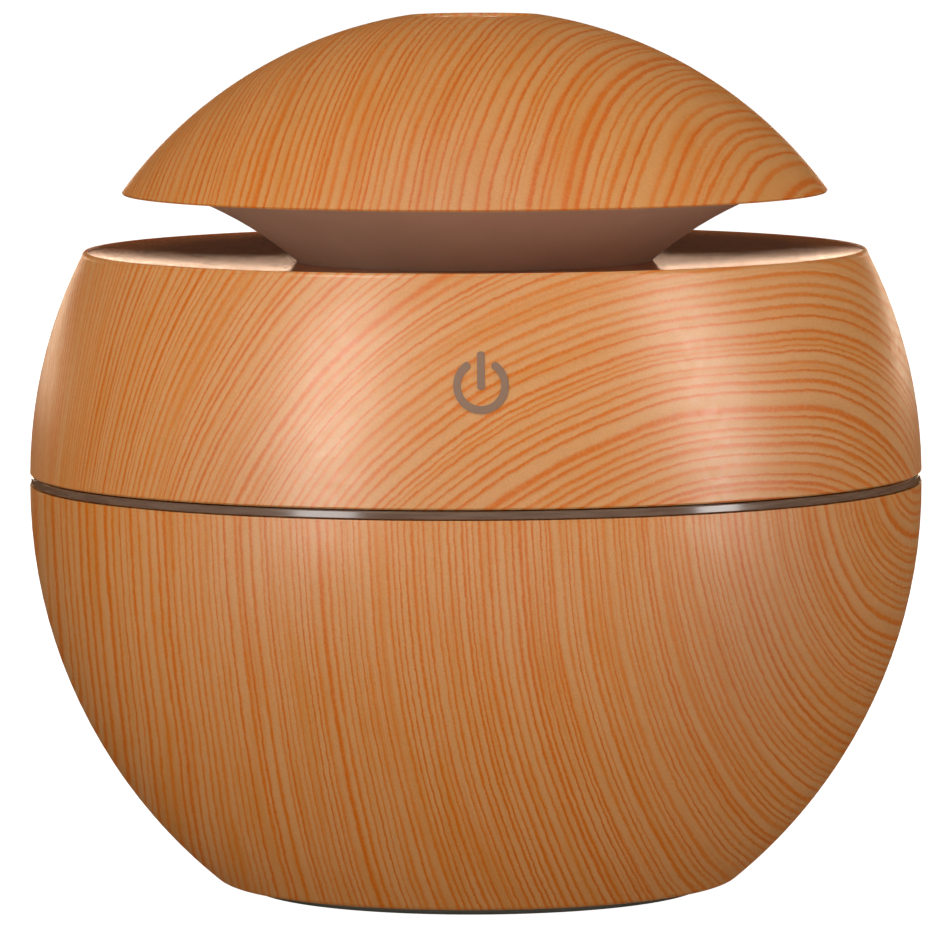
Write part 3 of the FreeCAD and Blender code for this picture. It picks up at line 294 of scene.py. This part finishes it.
def wood_through(name, centre_across, centre_height, steep, lean, spacing, seed):
    """Printed wood that looks cut through from front to back, with rings round a line
    that runs that way. lean shifts them sideways towards the back."""
    shader = Shader(name)
    x, y, z = shader.in_millimetres()
    across = shader.add(shader.sub(x, centre_across), shader.mul(y, lean))
    rise = shader.mul(shader.sub(z, centre_height), steep)
    ring = count_rings(shader, shader.span(across, rise), spacing, THROUGH_WAVE)
    finish_wood(shader, print_wood(shader, ring, z, seed))
    return shader.material


def wood_on_dome(name, direction, tight, loose, seed):
    """Printed wood laid on the dome from above. The lines run across it in one
    direction, in degrees from the right. tight is their spacing in millimetres to the left
    of its middle, and loose their spacing to the right."""
    shader = Shader(name)
    x, y, _ = shader.in_millimetres()
    turn = math.radians(direction)
    across = shader.sub(shader.mul(x, math.sin(turn)), shader.mul(y, math.cos(turn)))
    along = shader.add(shader.mul(x, math.cos(turn)), shader.mul(y, math.sin(turn)))
    middle = (1 / tight + 1 / loose) / 2
    change = (1 / tight - 1 / loose) / (4 * DOME_SIDE)
    spread = shader.sub(middle, shader.mul(across, change))
    ring = count_rings(shader, shader.mul(across, spread), 1.0, DOME_WAVE)
    finish_wood(shader, shader.shaded(print_wood(shader, ring, along, seed), DOME_WARMTH))
    return shader.material


def finish_wood(shader, colour):
    """Satin lacquer over the print, with a fine orange-peel surface."""
    peel = shader.noise(shader.place, 3000.0, 2.0, 0.6)
    shader.bump(peel, 0.10, 0.00006)
    rough = shader.ramp(shader.noise(shader.place, 900.0, 2.0, 0.6), 0.3, 0.7, 0.33, 0.42)
    shader.set(base_color=colour, roughness=rough)
    shader.surface.inputs["Specular IOR Level"].default_value = 1.0


# ---------------------------------------------------------------- other materials

def moulded(name, colour, roughness=0.4, grain=2600.0, depth=0.00003, spread=0.08):
    """Moulded plastic or rubber: a fine grained surface and slightly uneven colour."""
    shader = Shader(name)
    patch = shader.ramp(shader.noise(shader.place, 90.0, 4.0, 0.6), 0.3, 0.7, 1 - spread, 1.0)
    tint = shader.shaded(colour, patch)
    fine = shader.noise(shader.place, grain, 3.0, 0.6)
    shader.bump(fine, 0.25, depth)
    rough = shader.ramp(fine, 0.3, 0.7, roughness - 0.06, roughness + 0.06)
    shader.set(base_color=tint, roughness=rough)
    return shader.material


def metal(name, colour, roughness=0.3, scale=600.0, stretch=(1, 1, 8)):
    """Metal with a drawn or rolled grain."""
    shader = Shader(name)
    streak = shader.noise(shader.scaled(shader.place, stretch), scale, 4.0, 0.65)
    shade = shader.ramp(streak, 0.3, 0.7, 0.82, 1.05)
    tint = shader.shaded(colour, shade)
    shader.set(base_color=tint,
               roughness=shader.ramp(streak, 0.3, 0.7, roughness - 0.08, roughness + 0.1))
    shader.surface.inputs["Metallic"].default_value = 1.0
    shader.bump(streak, 0.15, 0.00002)
    return shader.material


def flake_paint():
    """The deck's champagne paint, with metal flakes."""
    shader = Shader("deck_paint")
    flake = shader.cells(shader.place, 5200.0, output="Color")
    red, green, blue = shader.split(flake)
    bright = shader.ramp(red, 0.0, 1.0, 0.55, 1.45)
    cloud = shader.ramp(shader.noise(shader.place, 60.0, 3.0, 0.6), 0.3, 0.7, 0.92, 1.05)
    shade = shader.mul(bright, cloud)
    tint = shader.shaded(srgb(214, 120, 64), shade)
    shader.set(base_color=tint, roughness=shader.ramp(green, 0.0, 1.0, 0.12, 0.24))
    shader.surface.inputs["Metallic"].default_value = 0.62
    shader.bump(blue, 0.2, 0.00001)
    return shader.material


def frosted():
    """The neck's frosted plastic."""
    shader = Shader("neck_frost")
    cloud = shader.noise(shader.place, 70.0, 3.0, 0.6)
    tint = shader.blend(shader.ramp(cloud, 0.3, 0.7), srgb(201, 183, 157), srgb(209, 191, 166))
    fine = shader.noise(shader.place, 4000.0, 2.0, 0.6)
    shader.set(base_color=tint, roughness=shader.ramp(fine, 0.3, 0.7, 0.5, 0.62))
    shader.bump(fine, 0.12, 0.00002)
    return shader.material


def ring_plastic():
    """The light ring: tinted clear plastic, polished, dark inside while it is off."""
    shader = Shader("light_guide")
    streak = shader.noise(shader.scaled(shader.place, (1, 1, 14)), 160.0, 3.0, 0.6)
    tint = shader.blend(shader.ramp(streak, 0.3, 0.7), srgb(104, 82, 68), srgb(122, 100, 84))
    shader.set(base_color=tint, roughness=shader.ramp(streak, 0.3, 0.7, 0.16, 0.26))
    shader.surface.inputs["Coat Weight"].default_value = 1.0
    shader.surface.inputs["Coat Roughness"].default_value = 0.12
    return shader.material


def cotton():
    """Pressed cotton: soft, slightly yellow, with short fibres."""
    shader = Shader("wick_cotton")
    fibre = shader.noise(shader.scaled(shader.place, (1, 1, 0.25)), 2400.0, 5.0, 0.75)
    clump = shader.noise(shader.place, 500.0, 3.0, 0.6)
    tint = shader.blend(shader.ramp(clump, 0.3, 0.7), srgb(232, 226, 212), srgb(247, 244, 236))
    tint = shader.blend(shader.ramp(fibre, 0.55, 0.75, 0.0, 0.3), tint, srgb(206, 198, 180))
    shader.set(base_color=tint, roughness=shader.ramp(fibre, 0.3, 0.7, 0.85, 1.0))
    shader.surface.inputs["Sheen Weight"].default_value = 0.4
    shader.bump(shader.add(fibre, clump), 0.6, 0.00012)
    return shader.material


def circuit_board():
    """Green solder mask with copper tracks and pads printed on it."""
    shader = Shader("board_green")
    track = shader.cells(shader.place, 520.0, "DISTANCE_TO_EDGE")
    copper = shader.ramp(track, 0.03, 0.07, 1.0, 0.0)
    mask = shader.blend(shader.mul(copper, 0.7), srgb(18, 84, 48), srgb(44, 128, 74))
    pad = shader.ramp(shader.cells(shader.place, 330.0), 0.10, 0.13, 1.0, 0.0)
    tint = shader.blend(pad, mask, srgb(200, 196, 186))
    shader.set(base_color=tint, roughness=shader.ramp(pad, 0.0, 1.0, 0.35, 0.2))
    shader.bump(shader.add(copper, pad), 0.3, 0.00004)
    return shader.material


# The numbers of each wood are explained where its function is. A moulded or metal
# material has a colour, and most have a roughness of their own.
MATERIALS = {
    "bowl_shell": wood_through("wood_bowl", 48.5, 50.0, 0.69, 0.08, 0.74, 11.0),
    "upper_shell": wood_on_side("wood_head", 32.0, -9.0, 0.88, 0.00003, 0.85, 0.90, 23.0),
    "dome_cap": wood_on_dome("wood_cap", 70.0, 0.91, 1.14, 37.0),
    "light_ring": ring_plastic(),
    "top_deck": flake_paint(),
    "mist_flare": frosted(),
    "cap_base": moulded("cap_cream", srgb(226, 206, 176), 0.45),
    "foot_pad": moulded("foot_rubber", srgb(74, 78, 70), 0.7, 1800.0, 0.00006),
    "tank_liner": moulded("tank_white", srgb(238, 238, 234), 0.35),
    "tank_seal": moulded("seal_silicone", srgb(222, 222, 216), 0.5),
    "head_base": moulded("base_white", srgb(240, 240, 236), 0.38),
    "disc_retainer": moulded("retainer_white", srgb(236, 236, 232), 0.38),
    "mist_tube": moulded("tube_white", srgb(240, 238, 232), 0.36),
    "wick_tube": moulded("wick_tube_white", srgb(238, 238, 234), 0.36),
    "wick_tube_cap": moulded("tube_cap_white", srgb(234, 234, 230), 0.36),
    "disc_gasket": moulded("gasket_silicone", srgb(214, 216, 216), 0.55),
    "mesh_plate": metal("disc_metal", srgb(206, 206, 200), 0.3),
    "piezo_ring": moulded("disc_ceramic", srgb(226, 216, 190), 0.6),
    "wick_spring": metal("spring_steel", srgb(206, 206, 206), 0.25),
    "cotton_wick": cotton(),
    "main_board": circuit_board(),
    "lamp_board": moulded("lamp_board_white", srgb(230, 232, 228), 0.4),
    "inductor": moulded("ferrite", srgb(60, 58, 58), 0.6),
    "capacitor": metal("can_aluminium", srgb(200, 202, 206), 0.3),
    "board_chips": moulded("chip_black", srgb(34, 34, 36), 0.45),
    "lamps": moulded("lamp_clear", srgb(244, 240, 214), 0.2),
    "touch_pad": metal("pad_copper", srgb(214, 142, 98), 0.3),
    "power_socket": metal("socket_metal", srgb(206, 206, 204), 0.28),
    "socket_tongue": moulded("socket_black", srgb(30, 30, 32), 0.4),
    "power_icon": moulded("mark_print", srgb(144, 114, 93), 0.45),
    "chassis_screws": metal("chassis_screw_steel", srgb(190, 190, 188), 0.3),
    "board_screws": metal("board_screw_steel", srgb(190, 190, 188), 0.3),
    "cap_screws": metal("cap_screw_steel", srgb(190, 190, 188), 0.3),
    "disc_leads": moulded("lead_red", srgb(188, 34, 26), 0.45),
    "touch_lead": moulded("lead_white", srgb(232, 230, 222), 0.45),
    "lamp_leads": moulded("lamp_lead_red", srgb(180, 40, 30), 0.45),
}

for node, material in MATERIALS.items():
    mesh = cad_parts[node].data
    mesh.materials.clear()
    mesh.materials.append(material)


# ---------------------------------------------------------------- cotton wick and spring

def smooth_object(name, work, material):
    """Turn finished bmesh work into a smooth-shaded object of one material."""
    mesh = bpy.data.meshes.new(name)
    work.to_mesh(mesh)
    work.free()
    for face in mesh.polygons:
        face.use_smooth = True
    mesh.materials.append(material)
    made = bpy.data.objects.new(name, mesh)
    bpy.context.scene.collection.objects.link(made)
    return made


def wick_profile(length, radius):
    """Height and radius pairs up the wick: a domed core at each end, a groove round it,
    then the wrapper's rolled edge and its straight side."""
    end = [(0.45, 0.0), (0.40, 0.22), (0.38, 0.45), (0.46, 0.66), (0.70, 0.80), (0.95, 0.845),
           (0.60, 0.87), (0.22, 0.90), (0.03, 0.94), (0.0, 0.965), (0.12, 0.99), (0.40, 1.0)]
    low = [(height * MM, share * radius) for height, share in end]
    steps = 110
    first, last = low[-1][0], length - low[-1][0]
    side = [(first + (last - first) * step / steps, radius) for step in range(1, steps)]
    return low + side + [(length - height, reach) for height, reach in reversed(low)]


def make_wick():
    """The pressed cotton wick: a fibrous core in a ribbed wrapper with a lapped seam."""
    low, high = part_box("cotton_wick")
    radius, length = (high.x - low.x) / 2, high.z - low.z
    centre = (low + high) / 2
    around, ribs, lap_angle = 180, 45, 0.5
    rib_depth, lap_depth, fibre_depth, settle_depth = 0.045 * MM, 0.14 * MM, 0.10 * MM, 0.16 * MM
    waver, waver_rate, core_share = 0.9 * MM, 420, 0.9
    work = bmesh.new()
    rows = []
    for height, reach in wick_profile(length, radius):
        row = []
        for index in range(around):
            turn = 2 * math.pi * index / around
            lean = turn + waver * math.sin(height * waver_rate) / radius
            spot = Vector((math.cos(turn) * reach, math.sin(turn) * reach, height * 0.3)) / MM
            fibre = 0.5 + 0.5 * noise.noise(spot * 2.2)
            rib = 0.5 + 0.5 * math.cos(lean * ribs)
            lap = max(0.0, 1.0 - turn / lap_angle)
            share = reach / radius
            inward = (rib * rib_depth + lap * lap_depth + fibre * fibre_depth) * share
            settle = fibre * settle_depth if reach < core_share * radius else 0.0
            rise = settle if height < length / 2 else -settle
            row.append(work.verts.new((centre.x + math.cos(turn) * (reach - inward),
                                       centre.y + math.sin(turn) * (reach - inward),
                                       low.z + height + rise)))
        rows.append(row)
    for lower, upper in zip(rows, rows[1:]):
        for index in range(around):
            after = (index + 1) % around
            work.faces.new((lower[index], lower[after], upper[after], upper[index]))
    bmesh.ops.remove_doubles(work, verts=work.verts, dist=1e-6)
    wick = smooth_object("wick_cotton_core", work, MATERIALS["cotton_wick"])
    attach(wick, "wick")
    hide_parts("cotton_wick")


def make_spring():
    """The wire spring under the wick."""
    low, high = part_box("wick_spring")
    wire, pitch, travel = 0.3 * MM, 1.6 * MM, 3.0 * MM
    height, reach = high.z - low.z, high.x - wire
    turns = (height - 2 * wire) / pitch
    steps_per_turn, sides = 48, 14
    steps = int(turns * steps_per_turn)
    slope = math.atan2(pitch, 2 * math.pi * reach)
    work = bmesh.new()
    rows = []
    for step in range(steps + 1):
        turn = 2 * math.pi * turns * step / steps
        outward = Vector((math.cos(turn), math.sin(turn), 0.0))
        across = Vector((math.sin(turn) * math.sin(slope), -math.cos(turn) * math.sin(slope),
                         math.cos(slope)))
        middle = outward * reach + Vector((0, 0, low.z + wire + pitch * turns * step / steps))
        rows.append([work.verts.new(middle + (outward * math.cos(angle)
                                              + across * math.sin(angle)) * wire)
                     for angle in (2 * math.pi * side / sides for side in range(sides))])
    for lower, upper in zip(rows, rows[1:]):
        for side in range(sides):
            after = (side + 1) % sides
            work.faces.new((lower[side], lower[after], upper[after], upper[side]))
    work.faces.new(list(reversed(rows[0])))
    work.faces.new(rows[-1])
    bmesh.ops.recalc_face_normals(work, faces=work.faces)
    spring = smooth_object("wick_spring_coil", work, MATERIALS["wick_spring"])
    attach(spring, "head")
    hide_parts("wick_spring")
    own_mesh(spring)


# ---------------------------------------------------------------- stage

def make_floor():
    """A wide white sheet that curves up behind the object. It glows by itself, and casts no
    light and no shadow on the object."""
    half, back, bend, height, bend_steps = 6.0, 3.0, 1.2, 5.0, 16
    work = bmesh.new()
    line = [(-half, 0.0), (back, 0.0)]
    for step in range(1, bend_steps + 1):
        angle = math.radians(90 * step / bend_steps)
        line.append((back + bend * math.sin(angle), bend * (1 - math.cos(angle))))
    line.append((back + bend, height))
    rows = [[work.verts.new((x, y, z)) for y, z in line] for x in (-half, half)]
    for index in range(len(line) - 1):
        work.faces.new((rows[0][index], rows[1][index], rows[1][index + 1], rows[0][index + 1]))
    shader = Shader("floor_paper")
    soft = shader.noise(shader.place, 3.0, 2.0, 0.5)
    shader.set(base_color=shader.blend(soft, (0.50, 0.50, 0.50), (0.52, 0.52, 0.52)),
               roughness=0.8, emission_color=(1.0, 1.0, 1.0, 1.0), emission_strength=1.0)
    floor = smooth_object("studio_floor", work, shader.material)
    floor.visible_diffuse = False
    floor.visible_glossy = False
    floor.visible_shadow = False


def softbox(name, azimuth, elevation, distance, size, power, colour=(1, 1, 1), shine=True,
            lit=True):
    """An area light that faces the object. Azimuth is from the front, + to the right.
    shine says whether it shows in reflections, and lit whether it lights surfaces."""
    light = bpy.data.lights.new(name, "AREA")
    light.shape = "RECTANGLE"
    light.size, light.size_y = size
    light.energy = power
    light.color = colour
    lamp = bpy.data.objects.new(name, light)
    turn, rise = math.radians(azimuth), math.radians(elevation)
    away = Vector((math.sin(turn) * math.cos(rise), -math.cos(turn) * math.cos(rise),
                   math.sin(rise)))
    aim = Vector((0, 0, 0.05))
    lamp.visible_camera = False
    lamp.visible_glossy = shine
    lamp.visible_diffuse = lit
    lamp.location = aim + away * distance
    lamp.rotation_euler = away.to_track_quat("Z", "Y").to_euler()
    bpy.context.scene.collection.objects.link(lamp)


def make_world():
    """A dim room: warm light from a wooden table below, dark walls, a pale ceiling."""
    world = bpy.data.worlds.new("studio")
    world.use_nodes = True
    nodes, links = world.node_tree.nodes, world.node_tree.links
    direction = nodes.new("ShaderNodeTexCoord").outputs["Generated"]
    height = nodes.new("ShaderNodeSeparateXYZ")
    share = nodes.new("ShaderNodeMapRange")
    share.inputs["From Min"].default_value = -1.0
    share.inputs["From Max"].default_value = 1.0
    ramp = nodes.new("ShaderNodeValToRGB")
    table, wall, ceiling = (0.10, 0.045, 0.018, 1), (0.05, 0.03, 0.017, 1), (0.10, 0.09, 0.08, 1)
    stops = ramp.color_ramp.elements
    stops[0].position, stops[0].color = 0.46, table
    stops[1].position, stops[1].color = 0.54, wall
    for position, colour in ((0.60, wall), (0.72, ceiling)):
        stops.new(position).color = colour
    links.new(direction, height.inputs[0])
    links.new(height.outputs[2], share.inputs["Value"])
    links.new(share.outputs[0], ramp.inputs["Fac"])
    links.new(ramp.outputs[0], nodes["Background"].inputs["Color"])
    bpy.context.scene.world = world


# Side, azimuth, width, power, and the power of its gleam, which shows in reflections only.
SOFTBOXES = (("left", -39, 0.40, 6.1, 4.2),
             ("right", 63, 0.30, 4.1, 4.8))

# Place, azimuth, elevation and power of the lights that don't show in reflections.
FILLS = (("front", 8, -14, 9.0),
         ("left", -60, -8, 8.0),
         ("right", 75, -18, 7.5),
         ("top", -8, 70, 18.0))


def make_lights():
    """Two tall softboxes, a low warm strip behind, and wide fills."""
    tall, rise, away, further, fill_away = 1.2, 18, 1.3, 1.31, 2.0
    for side, azimuth, width, power, gleam in SOFTBOXES:
        softbox(side + "_softbox", azimuth, rise, away, (width, tall), power)
        softbox(side + "_gleam", azimuth, rise, further, (width, tall), gleam, lit=False)
    softbox("back_strip", 180, 2.2, 1.2, (1.8, 0.06), 1.9, (1.0, 0.75, 0.54))
    for place, azimuth, elevation, power in FILLS:
        softbox(place + "_fill", azimuth, elevation, fill_away, (1.2, 1.2), power, shine=False)
    make_world()
    bpy.context.scene.view_settings.view_transform = "Standard"


def make_camera():
    """A long lens a metre away, above the cap, that looks down at the middle."""
    away, height, swing, roll = 1.0, 0.1323, math.radians(-0.7), math.radians(-0.235)
    aim = Vector((-0.0001, 0, 0.0466))
    camera = bpy.data.cameras.new("camera")
    camera.sensor_width = 36.0
    camera.lens = 336.7
    camera.clip_end = 20.0
    stand = bpy.data.objects.new("camera", camera)
    stand.location = (math.sin(swing) * away, -math.cos(swing) * away, height)
    look = (stand.location - aim).to_track_quat("Z", "Y")
    stand.rotation_euler = look.to_euler()
    stand.rotation_euler.rotate_axis("Z", roll)
    bpy.context.scene.collection.objects.link(stand)
    bpy.context.scene.camera = stand


make_wick()
make_spring()
make_floor()
make_lights()
make_camera()
